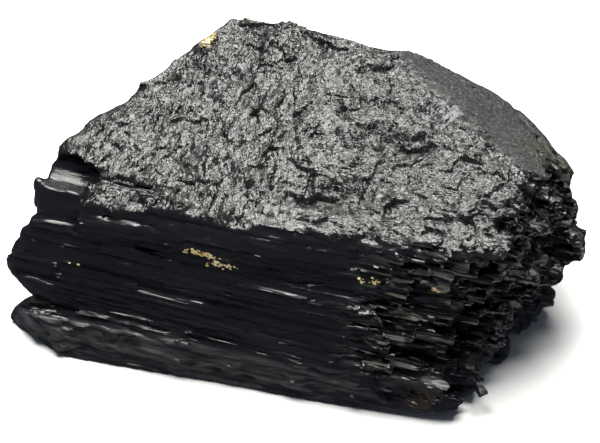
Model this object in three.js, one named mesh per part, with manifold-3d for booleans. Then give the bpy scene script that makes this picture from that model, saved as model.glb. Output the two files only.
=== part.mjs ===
// A broken length of black tourmaline (schorl), lying on a flat broken side.
//
// Tourmaline grows as a sheaf of thin parallel columns. Here they run along X, so the front
// is a stack of long ribs and both ends are stairs, where the columns snapped at different
// lengths. One rough break slopes up from the front rib to a ridge at the back, and a worn
// flat falls away from it at the right. The crystal is one solid, so it is one mesh.
//
// Millimetres, +Z up, +X along the columns. The origin is under the middle of the box, on
// the surface that the crystal lies on.

import * as THREE from "three";
import { mergeVertices } from "three/addons/utils/BufferGeometryUtils.js";
import { ImprovedNoise } from "three/addons/math/ImprovedNoise.js";
import Module from "manifold-3d";

// ---- Driving dimensions ----

const SEED = 7;
const NEARLY_NOTHING = 1e-6;
const OVERLAP = 0.5; // neighbouring columns share this much, so that they join into one solid

// The stack of ribs, from the foot up. z is the rib's height range. front and back are the Y
// of its outer faces at its bottom and top. left and right are where its front column ends.
// pull moves the ends of the columns behind it inwards: at the left, and at the right. skew
// turns the front column a little out of line, in degrees seen from above.
const RIBS = [
  { z: [0, 8.8], front: [-28, -27], back: [28, 31.4], left: -52, right: 40.5, pull: [4, 3.4] },
  { z: [8.8, 12.4], front: [-29, -27.8], back: [32.6, 33.6], left: -56.8, right: 41, pull: [2, 2.6] },
  { z: [12.4, 15.8], front: [-27.4, -26.2], back: [33, 33.8], left: -60, right: 33, pull: [0, 2] },
  { z: [15.8, 19.4], front: [-25.9, -24.6], back: [34.9, 35.4], left: -57.8, right: 32, pull: [1, 1.2] },
  { z: [19.4, 22.6], front: [-24.9, -23.6], back: [34, 34.2], left: -55.6, right: 31, pull: [1, 0.6] },
  { z: [22.6, 26.2], front: [-22.4, -21.2], back: [35.2, 34.8], left: -52.5, right: 37, pull: [3.4, 0.4] },
  {
    z: [26.2, 35.2],
    front: [-23.4, -20.2],
    back: [33.6, 33],
    left: -40.5,
    right: 26.5,
    pull: [3.4, 0.6],
    skew: 4.2,
  },
  { z: [35.2, 39.6], front: [-16, -13], back: [34, 33], left: -56, right: 46.4, pull: [0, 3] },
  { z: [39.6, 44.5], front: [-8, -3], back: [32, 31.2], left: -52, right: 47.6, pull: [0, 4.4] },
  { z: [44.5, 50], front: [3, 8], back: [31.8, 30.6], left: -46, right: 44, pull: [0, 6] },
  { z: [50, 56], front: [14, 18], back: [29.8, 28], left: -38, right: 38, pull: [0, 9] },
];
// Single columns that stand a little proud of the front, or of the left end of the break.
const PROUD_COLUMNS = [
  { z: [26, 35.4], front: [-20, -18], left: -54.4, right: -36, skew: 1 },
  { z: [19.8, 25.4], front: [-24.5, -22.9], left: -53, right: -21, skew: 1.4 },
  { z: [14.4, 16.4], front: [-28, -27.2], left: -45, right: 16.5, skew: 0.4 },
  { z: [20.2, 22.2], front: [-25.9, -25.1], left: -6, right: 30.2, skew: -0.8 },
  { z: [10.2, 11.6], front: [-29.9, -29.4], left: -20, right: 38, skew: -0.6 },
];
const PROUD_DEPTH = 5;
// Depths of the columns of a rib, from the front one backwards. The last reaches the back.
const COLUMN_DEPTHS = [4.2, 4.6, 5.4, 6.2, 7, 7.6, 8];
const LEAST_DEPTH = 4; // what is left at the back is a column of its own if it is deeper
const COLUMN_JITTER = 1; // a column's side walls move by up to this much
const SNAP_JITTER = 1.7; // its ends move by up to this much
// Where the ends of the sheaf lie: [y, x] points, with straight lines between them.
const RIGHT_END = [
  [-30, 40],
  [-16, 46.5],
  [8, 51],
  [16, 54],
  [24, 50],
  [36, 44],
];
const LEFT_END = [
  [-30, -57],
  [-16, -56],
  [10, -48],
  [36, -38],
];
// Needles stand out of the snapped ends: how many there are on each end of a column, how wide
// they are as a share of it, and how far they stand out.
const NEEDLES = { count: 2, share: [0.3, 0.65], reach: [0.5, 2.4] };
const HEXAGON_TURN = 0.35; // sixths of a turn, so that no flat of a six-sided column lies level

// The foot stands proud of the ribs: its outline seen from above, and its height.
const FOOT_HEIGHT = 8.8;
const FOOT_LEAN = 9; // degrees that its front leans back
// Its left end thins to a tongue: where that starts, how far it takes to reach its full lean,
// how much it leans in for each millimetre up, and how much it drops for each millimetre along.
const FOOT_TONGUE = { from: -40, over: 14, lean: 0.55, drop: 0.22 };
const FOOT_OUTLINE = [
  [-58.5, -28.6],
  [-54, -30.6],
  [-48, -32.6],
  [-41.5, -35.2],
  [-33, -34.4],
  [-24, -33.6],
  [-12, -32.3],
  [-2, -31.2],
  [8, -31],
  [20, -30],
  [31, -28.7],
  [39.4, -28.4],
  [41.6, -27],
  [42.4, -24],
  [46, -17],
  [47, -3],
  [40, 6],
  [-40, 6],
  [-52, -16],
];

// Thick columns that stand out of the right end: the middle of each in Y and Z, its width and
// height, and the X of its end. They start inside the crystal.
const STOUT_START = 20;
const STOUT_COLUMNS = [
  { middle: [14.6, 20.2], size: [8.4, 9], right: 57.2 },
  { middle: [11, 14.4], size: [7, 6.6], right: 55 },
  { middle: [17.6, 26.4], size: [7.4, 7], right: 54.4 },
  { middle: [9.4, 27], size: [7.6, 6.4], right: 55.4 },
  { middle: [3, 21], size: [6.4, 5.4], right: 54 },
  { middle: [21.6, 17.8], size: [6.6, 6.4], right: 53.6 },
];

// The pocket in the foot, near its right end: a shallow cave under a ledge.
const POCKET = { centre: [32.6, -29.2, 6.9], size: [14.6, 4.8, 4], turn: 4 };

// Each break is a rough plane: a point on it, the way it faces, and its roughness.
const TOP_BREAK = { at: [0, -18, 33.9], facing: [0, -0.397, 0.918], cell: 3, rough: 0.8 };
const LEFT_BREAK = { at: [-41, 5, 43.8], facing: [-0.78, 0.27, 0.56], cell: 4.5, rough: 1 };
const WORN_FLAT = { at: [34, 11.8, 46.6], facing: [0.369, 0.15, 0.917], cell: 5, rough: 0.35 };
const WORN_SHOULDER = { at: [47.8, 20.6, 38.8], facing: [0.66, 0.48, 0.58], cell: 5, rough: 0.4 };
const RIM = { at: [0, 26, 53.5], facing: [0.03, 0.22, 0.97], cell: 6, rough: 0.3 };
const BACK_BREAK = { at: [0, 31, 47], facing: [0, 0.93, 0.37], cell: 6, rough: 0.9 };
const OTHER_BREAKS = [LEFT_BREAK, WORN_FLAT, WORN_SHOULDER, RIM, BACK_BREAK];
// The slab that cuts a break reaches past the crystal on all sides. Its relief is wide waves,
// which count for more, and fine ones.
const SLAB = { width: 170, height: 130, thickness: 70 };
const WIDE_WAVES = { size: 16, share: 1.6 };
const FINE_WAVES = { size: 6, share: 1 };
// Hollows in the top break: their place seen from above, length, width, depth and direction.
const HOLLOWS = [
  { at: [17, 1], length: 22, width: 3.4, depth: 1.5, turn: 108 },
  { at: [-3.4, 0], length: 19, width: 3.6, depth: 1.3, turn: 122 },
  { at: [6.6, -9.6], length: 12, width: 4, depth: 2.1, turn: 8 },
  { at: [22.5, 4.6], length: 7, width: 3, depth: 2, turn: 20 },
  { at: [-46.6, -13.6], length: 14, width: 6, depth: 2.6, turn: 24 },
  { at: [-29, 6], length: 16, width: 7, depth: 1, turn: 70 },
];

const COLOUR = new THREE.Color(0.02, 0.021, 0.024);

// ---- Helpers ----

// A repeatable random number from -1 to 1 at each call.
function randomSource(seed) {
  let state = seed;
  return () => {
    state = (Math.imul(state ^ (state >>> 15), 2246822519) + 0x6d2b79f5) | 0;
    const mixed = Math.imul(state ^ (state >>> 13), 3266489917);
    return (((mixed ^ (mixed >>> 16)) >>> 0) / 4294967296) * 2 - 1;
  };
}

// The value at t on a line of straight pieces through [t, value] points.
function along(points, t) {
  const last = points.length - 1;
  if (t <= points[0][0]) return points[0][1];
  if (t >= points[last][0]) return points[last][1];
  const n = points.findIndex(([at]) => at > t);
  const [t0, v0] = points[n - 1];
  const [t1, v1] = points[n];
  return v0 + ((v1 - v0) * (t - t0)) / (t1 - t0);
}

const wasm = await Module();
wasm.setup();

// A closed three.js geometry as a manifold-3d solid.
function solidOf(geometry) {
  const bare = geometry.clone();
  bare.deleteAttribute("normal");
  bare.deleteAttribute("uv");
  const merged = mergeVertices(bare, 1e-4);
  return new wasm.Manifold(
    new wasm.Mesh({
      numProp: 3,
      vertProperties: merged.attributes.position.array,
      triVerts: new Uint32Array(merged.index.array),
    }),
  );
}

function geometryOf(solid) {
  const mesh = solid.getMesh();
  const geometry = new THREE.BufferGeometry();
  geometry.setAttribute("position", new THREE.BufferAttribute(mesh.vertProperties, 3));
  geometry.setIndex(new THREE.BufferAttribute(mesh.triVerts, 1));
  geometry.computeVertexNormals();
  return geometry;
}

// ---- The sheaf of columns ----

// One column: a YZ outline pushed along X from x0 to x1, then turned about its own middle.
function column(outline, x0, x1, skew = 0) {
  const shape = new THREE.Shape(outline.map(([y, z]) => new THREE.Vector2(y, z)));
  const geometry = new THREE.ExtrudeGeometry(shape, { depth: x1 - x0, bevelEnabled: false });
  const lengthways = new THREE.Matrix4().makeBasis(
    new THREE.Vector3(0, 1, 0),
    new THREE.Vector3(0, 0, 1),
    new THREE.Vector3(1, 0, 0),
  );
  geometry.applyMatrix4(lengthways);
  const middleY = outline[0][0];
  geometry.translate((x0 - x1) / 2, -middleY, 0);
  geometry.rotateZ(THREE.MathUtils.degToRad(skew));
  geometry.translate((x0 + x1) / 2, middleY, 0);
  return geometry;
}

// A value between the two ends of a range, from a random number from -1 to 1.
function pick([least, most], chance) {
  return least + ((most - least) * (chance + 1)) / 2;
}

// A six-sided outline, flattened to fit a width and a height round its middle.
function hexagon([y, z], [width, height]) {
  return [0, 1, 2, 3, 4, 5].map((n) => {
    const angle = ((n + HEXAGON_TURN) * Math.PI) / 3;
    return [y + (width / 2) * Math.cos(angle), z + (height / 2) * Math.sin(angle)];
  });
}

// Needles that stand out of both ends of a column with this Y range and Z range.
function needles([y0, y1], [z0, z1], x0, x1, random) {
  return Array.from({ length: NEEDLES.count }, () => {
    const width = (y1 - y0) * pick(NEEDLES.share, random());
    const height = (z1 - z0) * pick(NEEDLES.share, random());
    const y = pick([y0 + width / 2, y1 - width / 2], random());
    const z = pick([z0 + height / 2, z1 - height / 2], random());
    const outline = hexagon([y, z], [width, height]);
    return column(outline, x0 - pick(NEEDLES.reach, random()), x1 + pick(NEEDLES.reach, random()));
  });
}

function ribColumns(rib, random) {
  const [low, high] = rib.z;
  const bottom = low - (low > 0 ? OVERLAP : 0);
  const columns = [];
  let near = rib.front;
  for (let n = 0; near !== rib.back; n += 1) {
    const wall = near[0] + (COLUMN_DEPTHS[n] ?? COLUMN_DEPTHS.at(-1)) + COLUMN_JITTER * random();
    const last = wall > Math.min(...rib.back) - LEAST_DEPTH;
    const far = last ? rib.back : [wall, wall + rib.front[1] - rib.front[0]];
    const middle = (near[0] + far[0]) / 2;
    const snapLeft = along(LEFT_END, middle) + rib.pull[0] + SNAP_JITTER * random();
    const snapRight = along(RIGHT_END, middle) - rib.pull[1] + SNAP_JITTER * random();
    const outline = [
      [near[0], bottom],
      [far[0] + (last ? 0 : OVERLAP), bottom],
      [far[1] + (last ? 0 : OVERLAP), high],
      [near[1], high],
    ];
    const isFront = n === 0;
    const x0 = isFront ? rib.left : snapLeft;
    const x1 = isFront ? rib.right : snapRight;
    columns.push(column(outline, x0, x1, isFront ? rib.skew : 0));
    if (!isFront && !last) {
      columns.push(...needles([near[0], far[0]], [bottom, high], x0, x1, random));
    }
    near = far;
  }
  return columns;
}

function proudColumn({ z, front, left, right, skew }) {
  const outline = [
    [front[0], z[0]],
    [front[0] + PROUD_DEPTH, z[0]],
    [front[1] + PROUD_DEPTH, z[1]],
    [front[1], z[1]],
  ];
  return column(outline, left, right, skew);
}

// A block in the crystal's frame, turned about the vertical.
function block({ centre, size, turn }) {
  const geometry = new THREE.BoxGeometry(...size);
  geometry.rotateZ(THREE.MathUtils.degToRad(turn));
  geometry.translate(...centre);
  return geometry;
}

// The foot is its outline pushed upwards. Its front leans back, and left of the tongue's start
// its top comes down and its end leans in.
function footGeometry() {
  const shape = new THREE.Shape(FOOT_OUTLINE.map(([x, y]) => new THREE.Vector2(x, y)));
  const geometry = new THREE.ExtrudeGeometry(shape, { depth: FOOT_HEIGHT, bevelEnabled: false });
  const lean = Math.tan(THREE.MathUtils.degToRad(FOOT_LEAN));
  const position = geometry.attributes.position;
  for (let i = 0; i < position.count; i += 1) {
    const isTop = position.getZ(i) > FOOT_HEIGHT / 2;
    const x = position.getX(i);
    const past = Math.max(0, FOOT_TONGUE.from - x);
    const z = isTop ? FOOT_HEIGHT - past * FOOT_TONGUE.drop : 0;
    const inwards = past > 0 ? z * FOOT_TONGUE.lean * Math.min(1, past / FOOT_TONGUE.over) : 0;
    position.setXYZ(i, x + inwards, position.getY(i) + z * lean, z);
  }
  return geometry;
}

// ---- The breaks ----

// How deep the hollows make the top break at a place seen from above.
function hollowDepth(x, y) {
  return HOLLOWS.reduce((sum, { at, length, width, depth, turn }) => {
    const angle = THREE.MathUtils.degToRad(turn);
    const dx = x - at[0];
    const dy = y - at[1];
    const lengthways = (dx * Math.cos(angle) + dy * Math.sin(angle)) / (length / 2);
    const across = (dy * Math.cos(angle) - dx * Math.sin(angle)) / (width / 2);
    return sum + depth * Math.exp(-(lengthways ** 2) - across ** 2);
  }, 0);
}

// A thick slab whose lower face is the break. Cutting with it leaves that rough face.
function breakSlab({ at, facing, cell, rough }, depthAt = () => 0) {
  const { width, height, thickness } = SLAB;
  const noise = new ImprovedNoise();
  // Smooth noise at a point. The seed moves the pattern, so that the two waves differ.
  const waves = ({ size, share }, { x, y, z }, shift) =>
    share * noise.noise(x / size, y / size, z / size + shift);
  const across = Math.round(width / cell);
  const up = Math.round(height / cell);
  const geometry = new THREE.BoxGeometry(width, height, thickness, across, up, 1);
  geometry.translate(0, 0, thickness / 2);
  const turn = new THREE.Quaternion().setFromUnitVectors(
    new THREE.Vector3(0, 0, 1),
    new THREE.Vector3(...facing).normalize(),
  );
  const position = geometry.attributes.position;
  const point = new THREE.Vector3();
  for (let i = 0; i < position.count; i += 1) {
    point.fromBufferAttribute(position, i);
    const onBreak = Math.abs(point.z) < NEARLY_NOTHING;
    const placed = point.clone().applyQuaternion(turn);
    placed.add(new THREE.Vector3(...at));
    const swell = waves(WIDE_WAVES, placed, SEED) + waves(FINE_WAVES, placed, -SEED);
    const relief = rough * swell - depthAt(placed.x, placed.y);
    position.setXYZ(i, point.x, point.y, onBreak ? relief : point.z);
  }
  geometry.applyQuaternion(turn);
  geometry.translate(...at);
  return geometry;
}

// ---- The crystal ----

function crystalSolid() {
  const random = randomSource(SEED);
  const columns = RIBS.flatMap((rib) => ribColumns(rib, random));
  const grown = wasm.Manifold.union([
    ...columns.map(solidOf),
    ...PROUD_COLUMNS.map((proud) => solidOf(proudColumn(proud))),
    ...STOUT_COLUMNS.map(({ middle, size, right }) => solidOf(column(hexagon(middle, size), STOUT_START, right))),
    solidOf(footGeometry()),
  ]);
  const broken = wasm.Manifold.difference([
    grown,
    solidOf(breakSlab(TOP_BREAK, hollowDepth)),
    ...OTHER_BREAKS.map((rough) => solidOf(breakSlab(rough))),
    solidOf(block(POCKET)),
  ]);
  // A cut can leave a loose chip. The crystal is the largest piece.
  return broken.decompose().reduce((best, piece) => (piece.volume() > best.volume() ? piece : best));
}

const geometry = geometryOf(crystalSolid());
geometry.computeBoundingBox();
const middle = geometry.boundingBox.getCenter(new THREE.Vector3());
geometry.translate(-middle.x, -middle.y, -geometry.boundingBox.min.z);

const crystal = new THREE.Mesh(
  geometry,
  new THREE.MeshStandardMaterial({ color: COLOUR, roughness: 0.3, metalness: 0 }),
);
crystal.name = "tourmaline_crystal";

const part = new THREE.Group();
part.add(crystal);
export default part;
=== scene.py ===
# %% [markdown]
# # A lump of black tourmaline
#
# Tourmaline grows as a sheaf of thin parallel columns. This lump is a broken length of one such
# sheaf, in the black variety called schorl. Its front is a stack of long striated ribs, its two
# ends are stairs of snapped columns, and one rough glittering break slopes up to a ridge at the
# back. The frame gives its solid at the real size, as plain flat-sided columns. This lesson turns
# that solid into stone: first the shape down to half a millimetre, then the finish below that.

# %% Load the solid

import math

import bmesh
import bpy
import numpy as np
import openvdb
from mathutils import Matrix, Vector


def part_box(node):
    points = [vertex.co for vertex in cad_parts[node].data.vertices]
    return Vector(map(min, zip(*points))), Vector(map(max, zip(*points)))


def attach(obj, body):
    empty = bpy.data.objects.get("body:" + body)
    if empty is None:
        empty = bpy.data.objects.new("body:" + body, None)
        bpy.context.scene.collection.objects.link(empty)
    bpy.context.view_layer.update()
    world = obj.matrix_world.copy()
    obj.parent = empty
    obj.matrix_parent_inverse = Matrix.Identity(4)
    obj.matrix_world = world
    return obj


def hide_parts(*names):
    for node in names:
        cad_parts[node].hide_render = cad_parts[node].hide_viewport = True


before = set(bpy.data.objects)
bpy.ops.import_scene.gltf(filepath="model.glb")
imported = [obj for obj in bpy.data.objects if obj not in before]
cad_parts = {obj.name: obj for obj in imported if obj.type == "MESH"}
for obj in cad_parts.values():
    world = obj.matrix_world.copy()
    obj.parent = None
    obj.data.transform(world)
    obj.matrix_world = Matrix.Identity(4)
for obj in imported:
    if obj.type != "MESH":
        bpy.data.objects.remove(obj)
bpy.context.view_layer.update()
NODE = "tourmaline_crystal"
MM = 0.001
LOW, HIGH = (np.array(corner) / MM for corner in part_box(NODE))
print("the solid measures", (HIGH - LOW).round(1), "mm")

# %% [markdown]
# ## The camera, the floor and the light
#
# A black glossy thing is drawn by what it mirrors, so the light comes before the finish. One wide
# soft box hangs overhead, and faces that slope up mirror it, which makes the break glitter. The
# steeper faces mirror the dim room and stay nearly black. The pale floor lights the stone but is
# kept out of its mirror images, which would turn the steep black faces grey. More lamps would
# only blur all this.

# %% Camera

VIEW_AZIMUTH = math.radians(20)
VIEW_ELEVATION = math.radians(35)
VIEW_DISTANCE = 0.293
VIEW_TARGET = Vector((0.0029, -0.0089, 0.0282))


def look_from(azimuth, elevation, distance, target):
    """A place at that distance from the target, and the turn that faces the target from it."""
    away = Vector((
        math.sin(azimuth) * math.cos(elevation),
        -math.cos(azimuth) * math.cos(elevation),
        math.sin(elevation),
    ))
    return target + away * distance, away.to_track_quat("Z", "Y")


lens = bpy.data.cameras.new("view")
lens.lens = 85
lens.sensor_width = 36
lens.clip_start = 0.01
camera = bpy.data.objects.new("view", lens)
spot, turn = look_from(VIEW_AZIMUTH, VIEW_ELEVATION, VIEW_DISTANCE, VIEW_TARGET)
camera.location = spot
camera.rotation_euler = turn.to_euler()
bpy.context.scene.collection.objects.link(camera)
bpy.context.scene.camera = camera
print("the camera stands at", [round(v, 3) for v in spot])

# %% Floor

FLOOR_REACH = 6.0


def plain_material(name, colour, roughness):
    material = bpy.data.materials.new(name)
    material.use_nodes = True
    shader = material.node_tree.nodes["Principled BSDF"]
    shader.inputs["Base Color"].default_value = (*colour, 1)
    shader.inputs["Roughness"].default_value = roughness
    return material


floor_mesh = bpy.data.meshes.new("floor")
corners = [(x * FLOOR_REACH, y * FLOOR_REACH, 0) for x, y in ((-1, -1), (1, -1), (1, 1), (-1, 1))]
floor_mesh.from_pydata(corners, [], [(0, 1, 2, 3)])
floor = bpy.data.objects.new("floor", floor_mesh)
floor_mesh.materials.append(plain_material("pale_paper", (0.86, 0.86, 0.86), 0.8))
bpy.context.scene.collection.objects.link(floor)
floor.visible_glossy = False

# %% Light


def soft_box(name, at, size, power, colour=(1, 1, 1)):
    """A square lamp that faces the middle of the object."""
    lamp = bpy.data.lights.new(name, "AREA")
    lamp.shape = "RECTANGLE"
    lamp.size, lamp.size_y = size
    lamp.energy = power
    lamp.color = colour
    holder = bpy.data.objects.new(name, lamp)
    holder.location = at
    facing = Vector(at) - VIEW_TARGET
    holder.rotation_euler = facing.to_track_quat("Z", "Y").to_euler()
    bpy.context.scene.collection.objects.link(holder)
    return holder


soft_box("overhead", (-0.10, 0.12, 0.62), (0.62, 0.5), 13, (1, 1, 0.95))

room = bpy.data.worlds.new("dim_room")
room.use_nodes = True
room.node_tree.nodes["Background"].inputs["Color"].default_value = (0.085, 0.095, 0.12, 1)
bpy.context.scene.world = room
bpy.context.scene.view_settings.view_transform = "Standard"

# %% [markdown]
# ## From flat columns to stone
#
# A rough stone could be made by pushing the faces of a mesh in and out with displacement. On a
# solid full of narrow steps that tears the mesh at every edge. A distance grid has no such
# trouble: it is a block of small cubes, each holding its distance from the surface, with a minus
# sign inside. Adding a number to the distances moves the surface, and taking the larger of two
# distances cuts one shape with another. So the solid goes into a grid, all the breaking and
# ribbing is done there as arithmetic on whole arrays, and the surface is drawn again at the end.

# %% The solid as a grid of distances

VOXEL = 0.34
BAND = 8.0
MARGIN = 12


def merged_triangles(source):
    """Points in millimetres and triangles of a copy whose shared corners are merged."""
    shell = bmesh.new()
    shell.from_mesh(source)
    bmesh.ops.remove_doubles(shell, verts=shell.verts, dist=1e-7)
    bmesh.ops.triangulate(shell, faces=shell.faces)
    points = np.array([v.co for v in shell.verts], np.float32) / np.float32(MM)
    triangles = np.array([[v.index for v in f.verts] for f in shell.faces], np.uint32)
    shell.free()
    return points, triangles


points, triangles = merged_triangles(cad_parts[NODE].data)
spacing = openvdb.createLinearTransform(voxelSize=VOXEL)
solid_grid = openvdb.FloatGrid.createLevelSetFromPolygons(
    points, triangles=triangles, transform=spacing, halfWidth=BAND
)
first = np.floor(LOW / VOXEL).astype(int) - MARGIN
count = np.ceil(HIGH / VOXEL).astype(int) + MARGIN - first
distance = np.zeros(tuple(count), np.float32)
solid_grid.copyToArray(distance, ijk=tuple(int(i) for i in first))
X, Y, Z = (((first[a] + np.arange(count[a])) * VOXEL).astype(np.float32) for a in range(3))
print("grid of", distance.shape, "cubes, distances", distance.min(), "to", distance.max())

# %% [markdown]
# ## Patterns that a crystal breaks in
#
# Two patterns make all the relief. Wandering noise is a sheet of random heights with smooth
# slopes between them. A cell pattern scatters seeds over a sheet and gives each place to its
# nearest seed, which is how columns pack together. Both are functions of two directions only,
# so they are cheap: the ribs depend on Y and Z and run right along X, and the break depends on
# X and Y.

# %% Noise and cells


def smooth_step(low, high, value):
    t = np.clip((value - low) / (high - low), 0, 1)
    return t * t * (3 - 2 * t)


def softened(field, times, axes=None):
    """The field with every value mixed with its neighbours along those axes, again and again."""
    field = np.array(field, np.float32)
    for _ in range(times):
        for axis in axes or range(field.ndim):
            lines = np.moveaxis(field, axis, 0)
            lines[1:-1] = 0.5 * lines[1:-1] + 0.25 * (lines[2:] + lines[:-2])
    return field


def noise(u, v, size, seed):
    """Random heights from -1 to 1, one for each square of that size, with smooth slopes."""
    table = np.random.default_rng(seed).uniform(-1, 1, (256, 256)).astype(np.float32)
    iu, iv = np.floor(u / size).astype(int), np.floor(v / size).astype(int)
    fu, fv = u / size - iu, v / size - iv
    fu, fv = fu * fu * (3 - 2 * fu), fv * fv * (3 - 2 * fv)
    a, b = table[iu & 255, iv & 255], table[(iu + 1) & 255, iv & 255]
    c, d = table[iu & 255, (iv + 1) & 255], table[(iu + 1) & 255, (iv + 1) & 255]
    return (a * (1 - fu) + b * fu) * (1 - fv) + (c * (1 - fu) + d * fu) * fv


def cells(u, v, size, seed, square=0.0):
    """For each place: its distance to the nearest seed and how much further the next one is,
    both as shares of the size, the way to the nearest seed, and that seed's random numbers.
    square, from 0 to 1, counts distance the way a square does, which gives flat-sided cells."""
    u, v = np.broadcast_arrays(u / size, v / size)
    iu, iv = np.floor(u).astype(int), np.floor(v).astype(int)
    table = np.random.default_rng(seed).random((5, 256, 256)).astype(np.float32)
    near = np.full(u.shape, 9.0, np.float32)
    second = near.copy()
    du, dv = np.zeros_like(near), np.zeros_like(near)
    own = np.zeros((3, *u.shape), np.float32)
    for su in (-1, 0, 1):
        for sv in (-1, 0, 1):
            drawn = table[:, (iu + su) & 255, (iv + sv) & 255]
            ou, ov = iu + su + drawn[0] - u, iv + sv + drawn[1] - v
            reach = (1 - square) * np.hypot(ou, ov) + square * np.maximum(np.abs(ou), np.abs(ov))
            closer = reach < near
            second = np.where(closer, near, np.minimum(second, reach))
            near = np.where(closer, reach, near)
            du, dv = np.where(closer, ou, du), np.where(closer, ov, dv)
            own = np.where(closer, drawn[2:], own)
    return near, second - near, du, dv, own


def facets(u, v, size, tilt, seed):
    """Flat chips of that size, each tilted its own way by up to that slope."""
    _, _, du, dv, own = cells(u, v, size, seed)
    return size * (tilt * (du * (own[0] * 2 - 1) + dv * (own[1] * 2 - 1)) + 0.5 * tilt * (own[2] - 0.5))


# %% [markdown]
# ## Which surface is where
#
# The relief differs from face to face: ribs on the sides, chips on the breaks, hardly anything on
# the worn part. A face is told by the plane that it lies in and by the way it faces. The way it
# faces is the slope of the distances, which comes from comparing each cube with its neighbours.

# %% Planes of the breaks


def place(x, y, z):
    """A place in the solid's box, in millimetres, from its shares of the length, depth and height."""
    return LOW + np.array((x, y, z)) * (HIGH - LOW)


def unit(facing):
    return np.array(facing, np.float32) / np.float32(np.linalg.norm(facing))


def plane(at, facing):
    """The distance of every grid point from a plane, as an array."""
    nx, ny, nz = unit(facing)
    offset = float(np.dot(unit(facing), at))
    return nx * X[:, None, None] + ny * Y[None, :, None] + nz * Z[None, None, :] - offset


slope = np.gradient(distance, VOXEL)


def faces_towards(facing, least=0.55, full=0.85):
    """1 where the surface faces that way, 0 where it faces elsewhere."""
    return smooth_step(least, full, sum(n * s for n, s in zip(unit(facing), slope)))


FACES = {
    "top": {"at": place(0.5, 0.244, 0.629), "facing": (0, -0.397, 0.918)},
    "flat": {"at": place(0.802, 0.666, 0.865), "facing": (0.369, 0.15, 0.917)},
    "shoulder": {"at": place(0.92, 0.79, 0.72), "facing": (0.66, 0.48, 0.58)},
    "left": {"at": place(0.162, 0.57, 0.813), "facing": (-0.78, 0.27, 0.56)},
    "rim": {"at": place(0.5, 0.867, 0.993), "facing": (0.03, 0.22, 0.97)},
    "back": {"at": place(0.5, 0.938, 0.872), "facing": (0, 0.93, 0.37)},
}
FOOT_Z = place(0, 0, 0.165)[2]
FACE_REACH = 4.5

# %% Share the surface out


def shared_out():
    """For each face, an array that is 1 on it and 0 elsewhere, with wandering soft borders."""
    wander = 1.1 * noise(X[:, None], Y[None, :], 6, 31) + 0.5 * noise(X[:, None], Y[None, :], 2, 32)
    depths = {name: plane(**face) for name, face in FACES.items()}
    shares = {}
    for name, face in FACES.items():
        others = np.max([depth for other, depth in depths.items() if other != name], axis=0)
        outermost = smooth_step(-1.2, 1.2, depths[name] - others + wander[:, :, None])
        close = smooth_step(FACE_REACH, FACE_REACH / 2, np.abs(depths[name]))
        shares[name] = outermost * close * faces_towards(face["facing"])
        wander = -wander
    return shares


on = shared_out()
on_worn = np.maximum(on["flat"], on["shoulder"])
on_any = np.clip(sum(on.values()), 0, 1)
on_end = smooth_step(0.6, 0.85, np.abs(slope[0])) * (1 - on_any)
on_side = (1 - on_end) * (1 - on_any)
on_ledge = on_side * smooth_step(0.5, 0.8, slope[2])
on_foot = smooth_step(FOOT_Z + 0.6, FOOT_Z - 0.2, Z)[None, None, :] * faces_towards((0, -1, 0.1))
skin_depth = np.abs(distance) < VOXEL
for name, share in on.items():
    print(name, "covers", round(100 * float(share[skin_depth].mean()), 1), "% of the surface")

# %% [markdown]
# ## Hollows and knocked edges
#
# The corner of the break at the left end is scooped out, with rough dark stone round the scoop,
# and the foot has a pocket near its right end. The upper edges of the dark slab and of the foot
# are knocked off at a slant.
# Taking the larger of two distances makes all of these cuts. The ends are made a little longer
# first, by as much as the snapping will take off them on average.

# %% Make the ends longer

EXTRA_CUBES = 4


def longer(field):
    """The smallest distance among the cubes up to EXTRA_CUBES away along X."""
    result = field.copy()
    for step in range(1, EXTRA_CUBES + 1):
        np.minimum(result[step:], field[:-step], out=result[step:])
        np.minimum(result[:-step], field[step:], out=result[:-step])
    return result


distance = longer(distance)
on = {name: share if name in ("top", "rim", "flat") else -longer(-share) for name, share in on.items()}
on_end = -longer(-on_end)
print("each end is longer by", round(EXTRA_CUBES * VOXEL, 2), "mm")

# %% Scoop the corner and the pocket, and knock the edges off


def egg_reach(at, half_size):
    """An array that is 1 on an egg shape, less inside it and more outside."""
    squares = [((axis - at[n]) / half_size[n]) ** 2 for n, axis in enumerate((X, Y, Z))]
    return np.sqrt(squares[0][:, None, None] + squares[1][None, :, None] + squares[2][None, None, :])


def hollow(at, half_size, wobble_size):
    """A rough egg-shaped hollow, as an array of distances from its wall."""
    wobble = 0.16 * noise(X[:, None], Z[None, :], wobble_size, 37)[:, None, :]
    wobble = wobble + 0.12 * noise(X[:, None], Y[None, :], wobble_size, 38)[:, :, None]
    return half_size[2] * (1 - egg_reach(at, half_size) + wobble)


def slanted(at, facing):
    """A slightly rough plane, as an array of distances."""
    rough = 0.35 * noise(X[:, None], Y[None, :], 4, 35) + 0.25 * noise(X[:, None], Y[None, :], 1.6, 36)
    return plane(at, facing) + rough[:, :, None]


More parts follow.
